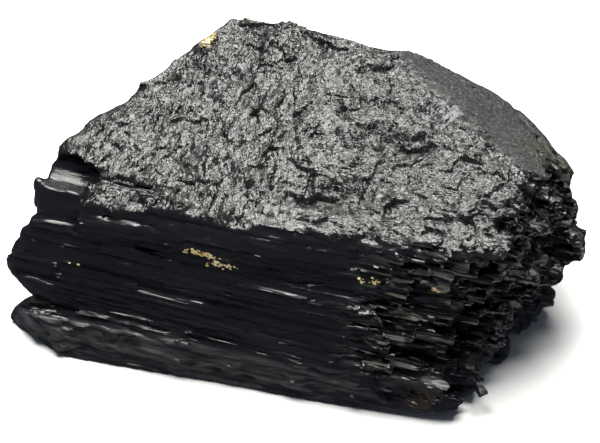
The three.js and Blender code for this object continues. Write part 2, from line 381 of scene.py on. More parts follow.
below_foot_top = (FOOT_Z + 0.6 - Z)[None, None, :]
left_of_stairs = (0.3 * (place(0.76, 0, 0)[0] - X))[:, None, None]
CUTS = {
    "corner": hollow(place(0.11, 0.30, 0.62), (7.0, 4.5, 2.4), 2.6),
    "pocket": hollow(place(0.79, 0.06, 0.09), (9.0, 6.5, 2.2), 2.2),
    "slab edge": np.minimum(slanted(place(0.462, 0.222, 0.615), (0.06, -0.85, 0.53)), left_of_stairs),
    "foot edge": np.minimum(slanted(place(0.5, 0.054, 0.128), (0, -0.82, 0.57)), below_foot_top),
}
shows = {}
for name, cut in CUTS.items():
    shows[name] = smooth_step(-0.6, 0.6, cut - distance)
    distance = np.maximum(distance, np.clip(cut, -BAND * VOXEL, BAND * VOXEL))
    left_over = 1 - shows[name]
    on = {face: share * left_over for face, share in on.items()}
    on_end, on_side, on_ledge = on_end * left_over, on_side * left_over, on_ledge * left_over
    print(name, "shows on", round(float((shows[name] * skin_depth).sum() * VOXEL ** 2)), "square mm")

# The corner round the hollow is rough and dark, down to the notch in the left outline.
CORNER = {"at": place(0.1, 0.22, 0.59), "half_size": (11.0, 9.0, 6.5)}
corner_reach = egg_reach(**CORNER) + 0.2 * noise(X[:, None], Z[None, :], 3, 39)[:, None, :]
near_corner = smooth_step(1.2, 0.7, corner_reach)
round_corner = near_corner * (1 - on["top"] - on["left"])
on_corner = np.maximum(shows["corner"], 0.8 * round_corner)
on_side = on_side * (1 - 0.7 * round_corner)
# Round the scooped corner and on the slab edge the stone has hardly any threads, and its colour is set
# black over the grey break there: painted shade of the hollow.
calm_painted_shade = np.maximum(near_corner, shows["slab edge"])
on_side = on_side + shows["slab edge"] + shows["foot edge"] + shows["pocket"]
on_foot = np.maximum(on_foot, shows["foot edge"]) * (1 - shows["pocket"])

# %% [markdown]
# ## A fused front
#
# On the front the columns are fused, so the ledges between them are low and blunt, not the clean
# shelves of the solid. Mixing the distances with their neighbours across the columns, and not
# along them, blunts the shelves and keeps the columns straight.

# %% Blunt the ledges of the front

RIB_BLUNTING = 36
FOOT_BLUNTING = 8


def blunted(field, times, axes, share):
    return field * (1 - share) + softened(field, times, axes) * share


front_end = int(np.searchsorted(Y, place(0, 0.31, 0)[1]))
front_top = int(np.searchsorted(Z, place(0, 0, 0.62)[2]))
front = distance[:, :front_end, :front_top]
share = smooth_step(place(0, 0.31, 0)[1], place(0, 0.26, 0)[1], Y[:front_end])[None, :, None]
share = share * smooth_step(place(0, 0, 0.62)[2], place(0, 0, 0.52)[2], Z[:front_top])[None, None, :]
above_foot = smooth_step(FOOT_Z - 0.5, FOOT_Z + 1.5, Z[:front_top])[None, None, :]
front = blunted(front, RIB_BLUNTING, (1, 2), share * above_foot)
distance[:, :front_end, :front_top] = blunted(front, FOOT_BLUNTING, (0, 1, 2), share * (1 - above_foot))
print("the front was blunted up to", round(float(Z[front_top])), "mm")

# %% [markdown]
# ## Snapped ends
#
# Where the sheaf broke across, every column snapped at its own length, so an end is a stair of
# small blocks. For each place in the YZ sheet the solid reaches from a left end to a right end.
# Cutting both back by a random amount per cell makes the stair: thick columns first, then the
# thin ones inside them. The front right corner is bevelled as well, column by column.

# %% Snap the ends


def blocks(u, v, size, seed):
    """Cells with flat sides, as packed columns have: the nearest seed counted square-wise."""
    return cells(u, v, size, seed, square=0.75)


YY, ZZ = np.meshgrid(Y, Z, indexing="ij")
inside = distance < 0
filled = inside.any(axis=0)
right_index = count[0] - 1 - np.argmax(inside[::-1], axis=0)
left_index = np.argmax(inside, axis=0)
iy, iz = np.indices(filled.shape)


def snapped(longest, seed):
    """How far each column's end is cut back, where the longest cut is given for each place."""
    wobble_y, wobble_z = YY + 0.4 * noise(YY, ZZ, 1.7, seed + 5), ZZ + 0.3 * noise(YY, ZZ, 1.7, seed + 6)
    thick = blocks(wobble_y * 0.8, wobble_z * 1.25, 4.2, seed)[4][0]
    thin = blocks(wobble_y * 0.8, wobble_z * 1.2, 1.5, seed + 1)[4][0]
    rough = facets(YY, ZZ, 1.3, 0.2, seed + 2) + 0.2 * noise(YY, ZZ, 0.8, seed + 3)
    return longest * thick ** 1.5 + 0.6 * thin ** 2 + np.maximum(rough, -0.2)


front_stair = smooth_step(4, -16, YY) * smooth_step(-27, -22, YY)
right_cut = snapped(3.5 + 5.5 * front_stair, 41) + 2.0 * front_stair
left_cut = snapped(2.4 + 0 * YY, 51)


def trimmed(length, proud):
    """Lengths with the lone needles taken off, which stand that much out of their surroundings."""
    around = softened(np.where(filled, length, 0), 40) / np.maximum(softened(1.0 * filled, 40), 1e-3)
    return np.minimum(length, around + proud)


right_end = trimmed(X[right_index] - right_cut * on_end[right_index, iy, iz], 2.0)
left_end = -trimmed(-X[left_index] - left_cut * on_end[left_index, iy, iz], 1.6)

# The front right corner is bevelled. Each thick column ends where its own middle meets the bevel.
BEVEL = {"corner": place(0.765, 0.16, 0), "length_for_depth": 1.05, "uneven": 3.2}
BEVEL_COLUMN = 3.0
BEVEL_WIDEN = 0.85
PAST_THE_END = 20
bevel_cells = blocks(YY * BEVEL_WIDEN + 0.4 * noise(YY, ZZ, 1.7, 47), ZZ * 1.3, BEVEL_COLUMN, 48)
middle_y = YY + bevel_cells[2] * BEVEL_COLUMN / BEVEL_WIDEN
bevel = BEVEL["corner"][0] + (middle_y - BEVEL["corner"][1]) * BEVEL["length_for_depth"]
bevel += BEVEL["uneven"] * (2 * bevel_cells[4][1] - 1)
bevel += PAST_THE_END * smooth_step(FOOT_Z + 1, FOOT_Z - 1, ZZ)
right_end = np.minimum(right_end, bevel)
right_end, left_end = np.where(filled, right_end, X[-1]), np.where(filled, left_end, X[0])
wall = 1.5 * VOXEL
distance = np.maximum(distance, np.clip(X[:, None, None] - right_end[None], -BAND, wall))
distance = np.maximum(distance, np.clip(left_end[None] - X[:, None, None], -BAND, wall))
print("the longest cut is", round(float(right_cut.max()), 1), "mm")

# %% Round the ends off

near_left = int(np.searchsorted(X, place(0.14, 0, 0)[0]))
near_right = int(np.searchsorted(X, place(0.86, 0, 0)[0]))
FADE = 18
FADES = (slice(0, near_left), slice(None, None, -1)), (slice(near_right, None), slice(None))
for part_of, fade in FADES:
    region = distance[part_of]
    steps = np.arange(region.shape[0])[fade]
    weight = np.clip(steps / FADE, 0, 1).astype(np.float32)[:, None, None]
    distance[part_of] = blunted(region, 2, (0, 1, 2), weight)
rounded_from = [round(float(X[index])) for index in (near_left, near_right)]
print("rounded off left of and right of", rounded_from, "mm")

# %% [markdown]
# ## Ribbed sides
#
# The sides show the columns lengthways. A column's side is a rounded rib, so each cell is highest
# at its seed and falls off to a groove where it meets the next one. Every rib also stands at a
# height of its own, and changes it a little where it once broke, every few centimetres.

# %% Rib the sides

rib = blocks(YY, ZZ, 2.4, 61)
reed = cells(YY, ZZ, 1.1, 71)
rib_height = 0.5 * (rib[4][0] - 0.5) - 0.26 * rib[0] ** 2
reed_height = 0.2 * (reed[4][0] - 0.5) - 0.18 * reed[0] ** 2
RUN_LENGTH = 42.0
runs = np.floor(X[:, None, None] / RUN_LENGTH + 7 * rib[4][1][None]).astype(int)
run_step = np.random.default_rng(81).uniform(-0.16, 0.16, 64).astype(np.float32)
ribs = (rib_height + reed_height)[None] + run_step[(runs * 7 + (rib[4][2] * 50).astype(int)[None]) & 63]
ribs += 0.35 * noise(X[:, None] * 0.15, Z[None, :], 2.6, 91)[:, None, :]
ribs *= 1 - 0.75 * on_ledge

XZ_X, XZ_Z = np.meshgrid(X, Z, indexing="ij")


def prisms(length, height, deep, slope_back, seed):
    """Short blocks on the front: each stands at its own depth and its upper part leans back."""
    wander = 0.3 * noise(XZ_X, XZ_Z, 3.0, seed + 3)
    _, _, _, dv, own = cells(XZ_X * height / length, XZ_Z + wander, height, seed, square=0.9)
    lean_back = slope_back * own[1] * height * np.maximum(0, -dv - 0.05)
    return deep * (own[0] - 0.6) - lean_back


stepped = smooth_step(place(0.62, 0, 0)[0], place(0.76, 0, 0)[0], XZ_X + 4 * noise(XZ_X, XZ_Z, 5, 96))
stepped *= smooth_step(FOOT_Z - 1, FOOT_Z + 2, XZ_Z)
prism_relief = stepped * (prisms(9, 2.3, 1.7, 2.0, 161) + prisms(5, 1.2, 0.6, 1.6, 162))
prism_relief += (1 - stepped) * prisms(34, 2.0, 0.45, 0.5, 163) * smooth_step(FOOT_Z - 1, FOOT_Z + 2, XZ_Z)
# The cuts have changed which way the surface faces, so its slope is taken again.
slope = np.gradient(distance, VOXEL)
faces_front = faces_towards((0, -1, 0.15), 0.3, 0.7)
ribs = ribs * (1 - 0.6 * faces_front) + prism_relief[:, None, :] * faces_front
foot_relief = 0.9 * noise(XZ_X * 0.15, XZ_Z, 2.4, 92) + 0.6 * noise(XZ_X * 0.3, XZ_Z, 1.1, 93)
foot_relief += 0.8 * noise(XZ_X, XZ_Z * 0.7, 3.2, 97)
foot_relief -= 0.6 * smooth_step(0.25, 0.6, noise(XZ_X * 0.12, XZ_Z, 1.5, 94))
undercut = 0.5 + 0.5 * noise(XZ_X, XZ_Z * 0, 9, 95)
foot_relief -= undercut * np.maximum(0, 2.6 - XZ_Z) ** 2 / 3
ribs = ribs * (1 - 0.7 * on_foot) + foot_relief[:, None, :] * on_foot
print("ribs from", round(float(ribs.min()), 2), "to", round(float(ribs.max()), 2), "mm")

# %% [markdown]
# ## Chipped breaks
#
# Schorl breaks into small shell-like chips. Each chip is a cell with a tilt of its own, so it
# mirrors a different part of the room, and that is what glitters. Chips of three sizes lie on one
# another. On the left they are long up the slope, on the right along the columns. A few scarps,
# where a flake came off, drop sharply on the side that faces the front and so look dark.

# %% Chip the breaks

XX, YB = np.meshgrid(X, Y, indexing="ij")
warp_x = XX + 1.1 * noise(XX, YB, 3.1, 101)
warp_y = YB + 1.1 * noise(XX, YB, 3.1, 102)


def chips(along_x, along_y, seed):
    """Three sizes of chips, drawn out along X or Y."""
    u, v = warp_x / along_x, warp_y / along_y
    return (
        facets(u, v, 5.0, 0.18, seed)
        + facets(u, v, 2.3, 0.23, seed + 1)
        + facets(u, v, 1.15, 0.22, seed + 2)
    )


turn_over = smooth_step(-6, 12, XX + 5 * noise(XX, YB, 8, 103))
swell = 1.1 * noise(XX, YB, 11, 104) + 0.6 * noise(XX, YB, 4.5, 105)
top_relief = chips(0.75, 1.5, 110) * (1 - turn_over) + chips(1.4, 0.8, 120) * turn_over
rim_relief = chips(3.2, 0.7, 125) + 0.6 * noise(XX, YB, 7, 126) + 0.9 * noise(XX * 0.15, YB, 1.6, 127)

# Each scarp: its place in shares of the box, length and depth in millimetres, and direction.
SCARPS = [
    {"at": (0.56, 0.365), "length": 11, "depth": 1.6, "turn": 12},
    {"at": (0.522, 0.43), "length": 7, "depth": 1.0, "turn": -18},
    {"at": (0.447, 0.40), "length": 4, "depth": 0.8, "turn": 5},
    {"at": (0.70, 0.575), "length": 7, "depth": 1.5, "turn": 10},
    {"at": (0.545, 0.655), "length": 8, "depth": 0.7, "turn": -30},
    {"at": (0.645, 0.69), "length": 7, "depth": 0.7, "turn": -8},
    {"at": (0.49, 0.53), "length": 10, "depth": 0.6, "turn": -62},
    {"at": (0.645, 0.45), "length": 14, "depth": 0.8, "turn": 82},
    {"at": (0.14, 0.29), "length": 9, "depth": 1.6, "turn": 20},
    {"at": (0.20, 0.28), "length": 8, "depth": 1.2, "turn": -8},
    {"at": (0.35, 0.32), "length": 9, "depth": 0.8, "turn": 8},
    {"at": (0.80, 0.36), "length": 12, "depth": 0.9, "turn": 6},
    {"at": (0.33, 0.885), "length": 14, "depth": 1.3, "turn": 0},
    {"at": (0.47, 0.86), "length": 12, "depth": 0.9, "turn": -4},
]


def scarp(at, length, depth, turn):
    """A sharp drop along a line, which comes up again slowly towards the front."""
    middle = place(*at, 0)
    angle = math.radians(turn)
    dx, dy = XX - middle[0], YB - middle[1]
    lengthways = dx * math.cos(angle) + dy * math.sin(angle)
    bend = 0.5 * noise(XX, YB, 2.0, 130)
    ahead = dx * math.sin(angle) - dy * math.cos(angle) + bend
    return -depth * np.exp(-np.abs(2 * lengthways / length) ** 3) * np.exp(-ahead / 2.4) * (ahead > 0)


# Skin that is left on the break: place in shares of the box, half length and half width in
# millimetres, direction in degrees, and how steeply it rises towards the back.
SKIN = [
    {"at": (0.727, 0.705), "size": (5.0, 3.6), "turn": 0, "rise": 0.5},
    {"at": (0.31, 0.64), "size": (3.0, 2.3), "turn": 20, "rise": 0.5},
    {"at": (0.335, 0.71), "size": (2.8, 2.0), "turn": -20, "rise": 0.5},
    {"at": (0.66, 0.835), "size": (3.6, 1.5), "turn": 0, "rise": 0.5},
]

on_skin = np.zeros_like(XX)
skin_relief = np.zeros_like(XX)
for patch in SKIN:
    middle = place(*patch["at"], 0)
    angle = math.radians(patch["turn"])
    dx, dy = XX - middle[0], YB - middle[1]
    lengthways = dx * math.cos(angle) + dy * math.sin(angle)
    across = dy * math.cos(angle) - dx * math.sin(angle)
    edge = 0.3 * noise(XX, YB, 2.2, 131) + 0.15 * noise(XX, YB, 0.9, 132)
    half_length, half_width = patch["size"]
    share = smooth_step(1.3, 0.45, np.hypot(lengthways / half_length, across / half_width) + edge)
    on_skin = np.maximum(on_skin, share)
    skin_relief += share * (patch["rise"] * dy - 0.35)
top_relief = top_relief * (1 - 0.7 * on_skin) + skin_relief + swell

falls = sum(scarp(**fall) for fall in SCARPS)
top_relief += falls
rim_relief += falls

left_relief = 0.9 * noise(YY, ZZ, 8, 140)
left_relief = left_relief + facets(YY, ZZ, 3.6, 0.2, 141) + facets(YY, ZZ, 1.5, 0.2, 142)
worn_relief = 0.55 * noise(XX, YB, 9, 150) + 0.3 * noise(XX, YB, 3, 151) + 0.12 * noise(XX, YB, 1.2, 152)
worn_relief += 0.3 * noise(XX * 0.15, YB, 1.5, 153)

# %% Wear the creases round


def rounded_crease(first_plane, second_plane, width, depth):
    """How much wear takes off along the line where two faces meet."""
    a, b = plane(**first_plane), plane(**second_plane)
    beside = smooth_step(3 * width, 0, np.abs(a)) * smooth_step(3 * width, 0, np.abs(b))
    return depth * np.exp(-np.abs(a - b) / width) * beside


wear = rounded_crease(FACES["top"], FACES["flat"], 2.2, 1.3)
wear += rounded_crease(FACES["flat"], FACES["shoulder"], 3, 2.0)

# %% Put the relief on

clear_of_base = smooth_step(0.2, 1.6, Z)[None, None, :]
relief = on_side * ribs + on["top"] * top_relief[:, :, None] + on["rim"] * rim_relief[:, :, None]
relief += on["left"] * left_relief[None] + on_worn * worn_relief[:, :, None]
relief += on["back"] * 0.8 * left_relief[None] + on_corner * left_relief[None]
relief = relief * clear_of_base - wear
distance -= relief
near_left_break = smooth_step(0.02, 0.3, softened(on["left"] + on_corner, 2))
distance = blunted(distance, 4, (0, 1, 2), near_left_break)
distance = np.maximum(distance, -Z[None, None, :])
print("relief from", round(float(relief.min()), 2), "to", round(float(relief.max()), 2), "mm")

# %% Draw the surface again


def mesh_from_arrays(name, vertices, quads, extra):
    """A mesh from arrays of points, four-sided faces and three-sided faces."""
    mesh = bpy.data.meshes.new(name)
    loops = np.concatenate([quads.ravel(), extra.ravel()]).astype(np.int32)
    sizes = np.concatenate([np.full(len(quads), 4), np.full(len(extra), 3)]).astype(np.int32)
    mesh.vertices.add(len(vertices))
    mesh.vertices.foreach_set("co", np.ascontiguousarray(vertices, np.float32).ravel())
    mesh.loops.add(len(loops))
    mesh.loops.foreach_set("vertex_index", loops)
    mesh.polygons.add(len(sizes))
    mesh.polygons.foreach_set("loop_start", np.concatenate([[0], np.cumsum(sizes)[:-1]]).astype(np.int32))
    mesh.update(calc_edges=True)
    mesh.validate()
    return mesh


corner = tuple(int(i) for i in first)
relief_grid = openvdb.FloatGrid(BAND * VOXEL)
relief_grid.copyFromArray(np.ascontiguousarray(distance), ijk=corner)
relief_grid.transform = spacing
new_points, new_triangles, new_quads = relief_grid.convertToPolygons(isovalue=0.0, adaptivity=0.0)
low, high = np.percentile(new_points, 0.02, axis=0), np.percentile(new_points, 99.98, axis=0)
low[2] = 0
stretch = (HIGH - LOW) / (high - low)
new_points = (new_points - low) * stretch + LOW
stone_mesh = mesh_from_arrays("rough_stone", new_points * MM, new_quads, new_triangles)
print("stretched by", stretch.round(3), "to make up for what the breaking took off")
stone = bpy.data.objects.new("black_tourmaline", stone_mesh)
bpy.context.scene.collection.objects.link(stone)
print("surface of", len(new_points), "points and", len(new_quads), "four-sided faces")

# %% [markdown]
# ## Fine relief by Geometry Nodes
#
# The grid's cubes are a third of a millimetre, too coarse for the finest striations and grains.
# Geometry Nodes add those along the surface's own normals. The two depths, the two sizes and the
# seed are inputs of the tree, so the finish can be tried without touching the shape. A painted
# attribute says where the surface is broken, which is where grain takes the place of striations.

# %% Paint the masks on the points


def sampled(mask, vertices):
    """The value of a grid array at each vertex, mixed from the eight cubes round it."""
    mask = np.broadcast_to(mask, distance.shape)
    where = ((vertices / MM - LOW) / stretch + low) / VOXEL - first
    base = np.clip(np.floor(where).astype(int), 0, count - 2)
    part = (where - base).astype(np.float32)
    total = np.zeros(len(vertices), np.float32)
    for dx, dy, dz in np.ndindex(2, 2, 2):
        weight = np.ones(len(vertices), np.float32)
        for axis, step in enumerate((dx, dy, dz)):
            weight *= part[:, axis] if step else 1 - part[:, axis]
        total += weight * mask[base[:, 0] + dx, base[:, 1] + dy, base[:, 2] + dz]
    return total


def vertices_of(mesh):
    co = np.empty(len(mesh.vertices) * 3, np.float32)
    mesh.vertices.foreach_get("co", co)
    return co.reshape(-1, 3)


def paint(mesh, name, values):
    attribute = mesh.attributes.new(name, "FLOAT", "POINT")
    attribute.data.foreach_set("value", np.ascontiguousarray(values, np.float32))


on_skin = on["top"] * on_skin[:, :, None]
broken = np.clip(on["top"] + on["left"] + on["rim"] + on["back"] - on_skin, 0, 1)
stone_vertices = vertices_of(stone_mesh)
rough_end = np.maximum(on_end, on_corner)
MASKS = {"broken": broken, "worn": on_worn, "foot": on_foot, "snapped": rough_end, "skin": on_skin}
MASKS["stairs"] = stepped[:, None, :]
MASKS["calm_painted_shade"] = calm_painted_shade
for name, mask in MASKS.items():
    paint(stone_mesh, name, sampled(mask, stone_vertices))
print("painted", [a.name for a in stone_mesh.attributes if a.data_type == "FLOAT"])

# %% Build the tree


def new_tree(name, inputs):
    """An empty geometry tree with a geometry input and output and the named inputs."""
    tree = bpy.data.node_groups.new(name, "GeometryNodeTree")
    tree.interface.new_socket("Geometry", in_out="INPUT", socket_type="NodeSocketGeometry")
    tree.interface.new_socket("Geometry", in_out="OUTPUT", socket_type="NodeSocketGeometry")
    for label, kind in inputs:
        tree.interface.new_socket(label, in_out="INPUT", socket_type=kind)
    return tree, tree.nodes.new("NodeGroupInput"), tree.nodes.new("NodeGroupOutput")


def node(tree, kind, settings=None, **links):
    """A node with some settings. Each link names an input and gives a value or another socket."""
    made = tree.nodes.new(kind)
    for key, value in (settings or {}).items():
        setattr(made, key, value)
    for key, value in links.items():
        socket = made.inputs[int(key[1:])] if key[1:].isdigit() else made.inputs[key.replace("_", " ")]
        if isinstance(value, bpy.types.NodeSocket):
            tree.links.new(value, socket)
        else:
            socket.default_value = value
    return made


def arithmetic(tree, operation, a, b=0.0):
    return node(tree, "ShaderNodeMath", {"operation": operation}, i0=a, i1=b).outputs[0]


def masked(tree, name):
    return node(tree, "GeometryNodeInputNamedAttribute", {"data_type": "FLOAT"}, Name=name).outputs[0]


FINE_INPUTS = [
    ("Striation depth", "NodeSocketFloat"),
    ("Striation spacing", "NodeSocketFloat"),
    ("Grain depth", "NodeSocketFloat"),
    ("Grain size", "NodeSocketFloat"),
    ("Smallest piece", "NodeSocketInt"),
    ("Seed", "NodeSocketFloat"),
    ("Stone", "NodeSocketMaterial"),
]


def fine_relief_tree():
    tree, given, result = new_tree("fine_relief", FINE_INPUTS)
    where = node(tree, "ShaderNodeSeparateXYZ", i0=node(tree, "GeometryNodeInputPosition").outputs[0])
    lengthways = arithmetic(tree, "MULTIPLY", where.outputs[0], 0.03)
    drawn_out = node(tree, "ShaderNodeCombineXYZ", i0=lengthways, i1=where.outputs[1], i2=where.outputs[2])
    spread = arithmetic(tree, "DIVIDE", 1.0, given.outputs["Striation spacing"])
    lines = node(
        tree, "ShaderNodeTexNoise", {"noise_dimensions": "4D"},
        Vector=drawn_out.outputs[0], W=given.outputs["Seed"], Scale=spread, Detail=1.0,
    )
    fineness = arithmetic(tree, "DIVIDE", 1.0, given.outputs["Grain size"])
    grains = node(
        tree, "ShaderNodeTexNoise", {"noise_dimensions": "4D"},
        W=given.outputs["Seed"], Scale=fineness, Detail=2.0,
        Vector=node(tree, "GeometryNodeInputPosition").outputs[0],
    )
    is_broken = masked(tree, "broken")
    not_plain = arithmetic(tree, "MAXIMUM", is_broken, masked(tree, "worn"))
    is_plain = arithmetic(tree, "SUBTRACT", 1.0, not_plain)
    line = arithmetic(tree, "MULTIPLY", arithmetic(tree, "SUBTRACT", lines.outputs[0], 0.5), is_plain)
    grain = arithmetic(tree, "MULTIPLY", arithmetic(tree, "SUBTRACT", grains.outputs[0], 0.5), is_broken)
    line = arithmetic(tree, "MULTIPLY", line, given.outputs["Striation depth"])
    grain = arithmetic(tree, "MULTIPLY", grain, given.outputs["Grain depth"])
    move = node(
        tree, "ShaderNodeVectorMath", {"operation": "SCALE"},
        i0=node(tree, "GeometryNodeInputNormal").outputs[0], Scale=arithmetic(tree, "ADD", line, grain),
    )
    moved = node(
        tree, "GeometryNodeSetPosition", Geometry=given.outputs["Geometry"], Offset=move.outputs[0]
    )
    island = node(tree, "GeometryNodeInputMeshIsland").outputs[0]
    island_size = node(
        tree, "GeometryNodeAccumulateField", {"data_type": "INT", "domain": "POINT"},
        i0=1, Group_ID=island,
    )
    is_crumb = node(
        tree, "FunctionNodeCompare", {"data_type": "INT", "operation": "LESS_THAN"},
        i2=island_size.outputs["Total"], i3=given.outputs["Smallest piece"],
    )
    cleaned = node(
        tree, "GeometryNodeDeleteGeometry", {"domain": "POINT"},
        Geometry=moved.outputs[0], Selection=is_crumb.outputs[0],
    )
    whole = node(tree, "GeometryNodeRealizeInstances", Geometry=cleaned.outputs[0])
    finished = node(
        tree, "GeometryNodeSetMaterial", Geometry=whole.outputs[0], Material=given.outputs["Stone"]
    )
    tree.links.new(finished.outputs[0], result.inputs[0])
    return tree


def run_tree(piece, tree, values):
    """Sets the tree's inputs on a piece and returns its finished mesh."""
    modifier = piece.modifiers.new(tree.name, "NODES")
    modifier.node_group = tree
    for item in tree.interface.items_tree:
        if item.in_out == "INPUT" and item.name in values:
            modifier[item.identifier] = values[item.name]
    graph = bpy.context.evaluated_depsgraph_get()
    made = bpy.data.meshes.new_from_object(piece.evaluated_get(graph))
    piece.modifiers.clear()
    return made


# %% [markdown]
# ## The finish of the stone
#
# Schorl is a black glass-like mineral that mirrors about a twentieth of the light. What it looks
# like depends on how its surface points, so the finish is mostly normals: fine striations along X
# on the sides, and on the breaks thousands of grains that each mirror their own bit of the room.
# The leans are random and fixed to the stone, and none of them depends on the view.
# The breaks are a little greyer, because bruised stone scatters light. The worn part is dull and
# slightly olive. The foot is satin, and its lighter grey colour is a painted reflection of the pale floor.

# %% Stone material


def mix_colour(tree, factor, a, b):
    made = tree.nodes.new("ShaderNodeMix")
    made.data_type = "RGBA"
    for socket, value in ((made.inputs[0], factor), (made.inputs[6], a), (made.inputs[7], b)):
        if isinstance(value, bpy.types.NodeSocket):
            tree.links.new(value, socket)
        else:
            socket.default_value = value
    return made.outputs[2]


def mix_value(tree, factor, a, b):
    return node(tree, "ShaderNodeMix", None, i0=factor, i2=a, i3=b).outputs[0]


def remap(tree, value, low, high, to_low, to_high):
    return node(
        tree, "ShaderNodeMapRange", None, i0=value, i1=low, i2=high, i3=to_low, i4=to_high
    ).outputs[0]


def painted(tree, name):
    return node(tree, "ShaderNodeAttribute", {"attribute_name": name}).outputs["Fac"]


RUST_AT = place(0.798, 0.115, 0.085)
STAIN_AT = place(0.94, 0.74, 0.69)


def stone_material():
    material = bpy.data.materials.new("black_stone")
    material.use_nodes = True
    tree = material.node_tree
    shader = tree.nodes["Principled BSDF"]
    shader.inputs["IOR"].default_value = 1.63
    is_broken, is_worn, is_foot, is_skin, is_end, is_stairs = (
        painted(tree, n) for n in ("broken", "worn", "foot", "skin", "snapped", "stairs")
    )
    in_object = node(tree, "ShaderNodeTexCoord").outputs["Object"]

    def stretched(x, y, z, vector=in_object, unit_size=MM):
        """Object coordinates in millimetres, drawn out by a scale along each axis."""
        scale = (x / unit_size, y / unit_size, z / unit_size)
        return node(tree, "ShaderNodeMapping", None, Vector=vector, Scale=scale).outputs[0]

    def noise_of(vector, scale, detail=2.0, output=0):
        made = node(tree, "ShaderNodeTexNoise", None, Vector=vector, Scale=scale, Detail=detail)
        return made.outputs[output]

    def vector_math(operation, a, b=(0, 0, 0), output="Vector", **more):
        made = node(tree, "ShaderNodeVectorMath", {"operation": operation}, i0=a, i1=b, **more)
        return made.outputs[output]

    def cell_colour(vector, scale):
        """A random colour for every cell of a cell pattern."""
        return node(tree, "ShaderNodeTexVoronoi", None, Vector=vector, Scale=scale).outputs["Color"]

    def channel(of_colour, index):
        return node(tree, "ShaderNodeSeparateColor", None, i0=of_colour).outputs[index]

    def leaning(surface, random_colour, amount, middle=(0.5, 0.5, 0.5)):
        """The surface's normal, leaned by how far a random colour is from the middle."""
        way = vector_math("SCALE", vector_math("SUBTRACT", random_colour, middle), Scale=amount)
        return vector_math("ADD", surface, way)

    def bumped(normal, height, depth, strength):
        return node(
            tree, "ShaderNodeBump", None,
            Strength=strength, Distance=depth, Height=height, Normal=normal,
        ).outputs[0]

    # Wisps: thin crests on the breaks, drawn out up the slope on the left and along X on the right
    in_mm = stretched(1, 1, 1)
    sway = vector_math("SUBTRACT", noise_of(in_mm, 0.8, 1.0, 1), (0.5, 0.5, 0.5))
    swayed = vector_math("ADD", in_mm, vector_math("SCALE", sway, Scale=1.6))
    flakes_up = stretched(1.9, 0.65, 0.65, swayed, 1)
    flakes_along = stretched(0.7, 1.9, 1.9, swayed, 1)
    x_in_mm = node(tree, "ShaderNodeSeparateXYZ", i0=swayed).outputs[0]
    turned = remap(tree, x_in_mm, -4, 10, 0, 1)
    wisps = mix_value(tree, turned, noise_of(flakes_up, 0.8, 1.0), noise_of(flakes_along, 0.8, 1.0))
    crest = arithmetic(tree, "ABSOLUTE", arithmetic(tree, "SUBTRACT", wisps, 0.5))
    crest = arithmetic(tree, "SUBTRACT", 0.5, crest)

    # Colour
    cloud = noise_of(in_mm, 0.22, 3.0)
    blotch = noise_of(swayed, 0.5, 2.0)
    speckle = remap(tree, noise_of(swayed, 1.6, 2.0), 0.3, 0.7, -0.25, 0.25)
    is_skin = remap(tree, arithmetic(tree, "ADD", is_skin, speckle), 0.25, 0.85, 0, 0.92)
    streak = noise_of(stretched(0.03, 1, 1), 0.9, 3.0)
    black = mix_colour(tree, streak, (0.0035, 0.0038, 0.0055, 1), (0.0075, 0.008, 0.0095, 1))
    bruised = mix_colour(
        tree, remap(tree, cloud, 0.35, 0.65, 0, 1), (0.012, 0.0125, 0.0115, 1), (0.026, 0.0265, 0.021, 1)
    )
    bruised = mix_colour(tree, remap(tree, blotch, 0.42, 0.6, 0, 0.75), bruised, (0.005, 0.0055, 0.008, 1))
    from_stain = vector_math("DISTANCE", in_mm, tuple(STAIN_AT), output="Value")
    stain = arithmetic(tree, "ADD", from_stain, remap(tree, cloud, 0.3, 0.7, -5, 5))
    fibre_tone = noise_of(stretched(0.12, 0.9, 0.9, swayed, 1), 1.2, 4.0)
    dull = mix_colour(
        tree, remap(tree, fibre_tone, 0.35, 0.65, 0, 1), (0.009, 0.010, 0.011, 1), (0.028, 0.030, 0.029, 1)
    )
    dull = mix_colour(tree, remap(tree, stain, 4, 11, 0.75, 0), dull, (0.05, 0.043, 0.02, 1))
    # The foot has a satin finish; its lighter grey bands are a painted reflection of the pale floor, which
    # the stone does not mirror
    bands = remap(tree, noise_of(stretched(0.07, 0.8, 1.2), 1.1, 4.0), 0.4, 0.6, 0, 1)
    foot_painted_reflection = mix_colour(tree, bands, (0.006, 0.0065, 0.0085, 1), (0.038, 0.0385, 0.041, 1))
    colour = mix_colour(tree, is_foot, black, foot_painted_reflection)
    from_rust = vector_math("DISTANCE", in_mm, tuple(RUST_AT), output="Value")
    rust = arithmetic(tree, "ADD", from_rust, remap(tree, blotch, 0.35, 0.65, 1.2, -1.2))
    colour = mix_colour(tree, remap(tree, rust, 1.4, 3.6, 0.6, 0), colour, (0.05, 0.032, 0.017, 1))
    colour = mix_colour(tree, is_broken, colour, bruised)
    colour = mix_colour(tree, is_worn, colour, dull)
    colour = mix_colour(tree, is_skin, colour, (0.004, 0.007, 0.013, 1))
    # Painted shade: round the scooped corner and on the slab edge the colour is set black over the grey
    # break
    colour = mix_colour(tree, arithmetic(tree, "MULTIPLY", painted(tree, "calm_painted_shade"), 0.8), colour, black)

    # Flakes: every small cell of the breaks gets a random colour, which later leans it
    flake = mix_colour(tree, turned, cell_colour(flakes_up, 1.05), cell_colour(flakes_along, 1.05))
    y_in_mm = node(tree, "ShaderNodeSeparateXYZ", i0=swayed).outputs[1]
    finer = arithmetic(tree, "ADD", y_in_mm, remap(tree, blotch, 0.3, 0.7, -9, 9))
    finer = remap(tree, finer, -10, 12, 0.3, 0.9)
    flake = mix_colour(tree, finer, flake, cell_colour(stretched(1.25, 1, 1, swayed, 1), 2.2))
    flaked = arithmetic(tree, "MAXIMUM", is_broken, painted(tree, "skin"))

